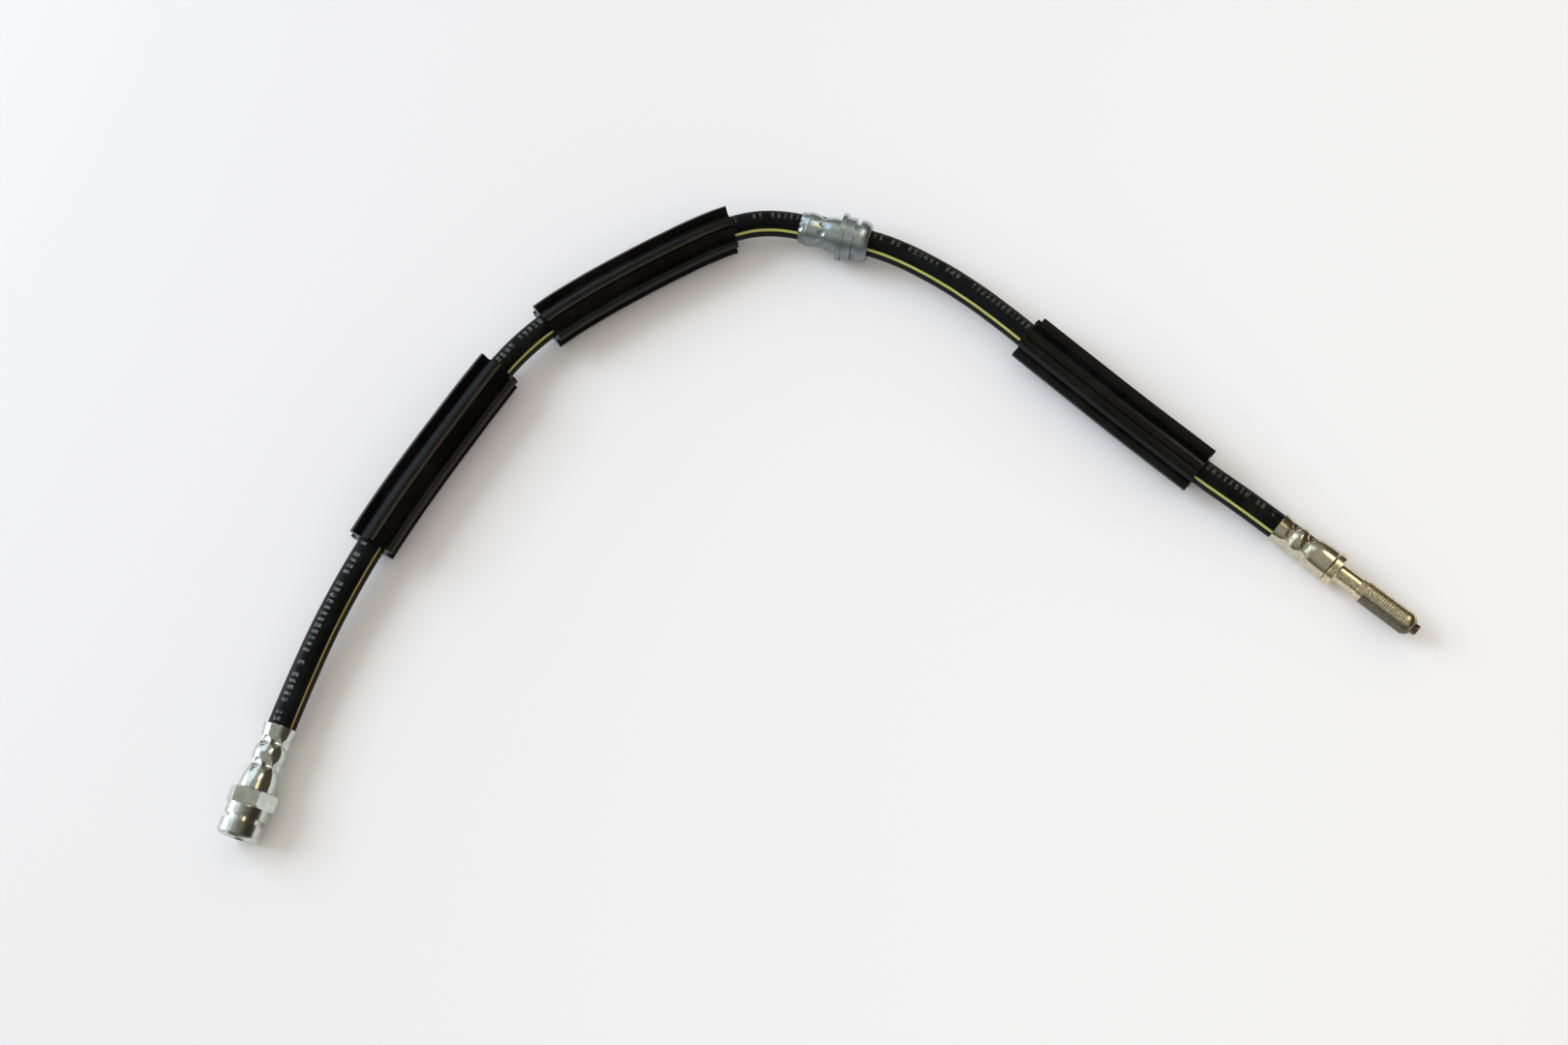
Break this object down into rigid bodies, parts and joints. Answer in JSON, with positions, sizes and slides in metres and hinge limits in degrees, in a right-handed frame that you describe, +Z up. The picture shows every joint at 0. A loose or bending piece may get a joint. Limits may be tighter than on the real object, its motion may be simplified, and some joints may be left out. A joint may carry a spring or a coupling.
{
  "type": "brake hose",
  "caption": "Hydraulic brake hose with crimped threaded end fittings, a bracket collar and ribbed rubber sleeves, lying in a curve.",
  "frame": {"origin": "middle of the base of the object's box, on the surface that it lies on", "axes": "+Z up; the female fitting points along -Y, the centre collar's axis is within a degree of +X, and the male fitting points towards +X and a little towards -Y"},
  "size_m": [0.4065, 0.3074, 0.02],
  "materials": {
    "hose_rubber": "satin",
    "sleeve_rubber": "satin",
    "silver_zinc": "gloss",
    "yellow_zinc": "gloss",
    "turned_steel": "satin"
  },
  "bodies": {
    "root": {"hose": "hose_rubber", "female_crimp_shell": "silver_zinc", "female_fitting": "silver_zinc", "male_crimp_shell": "yellow_zinc", "male_fitting": "yellow_zinc", "centre_collar": "turned_steel", "lower_sleeve": "sleeve_rubber", "upper_sleeve": "sleeve_rubber", "right_sleeve": "sleeve_rubber"}
  },
  "joints": []
}
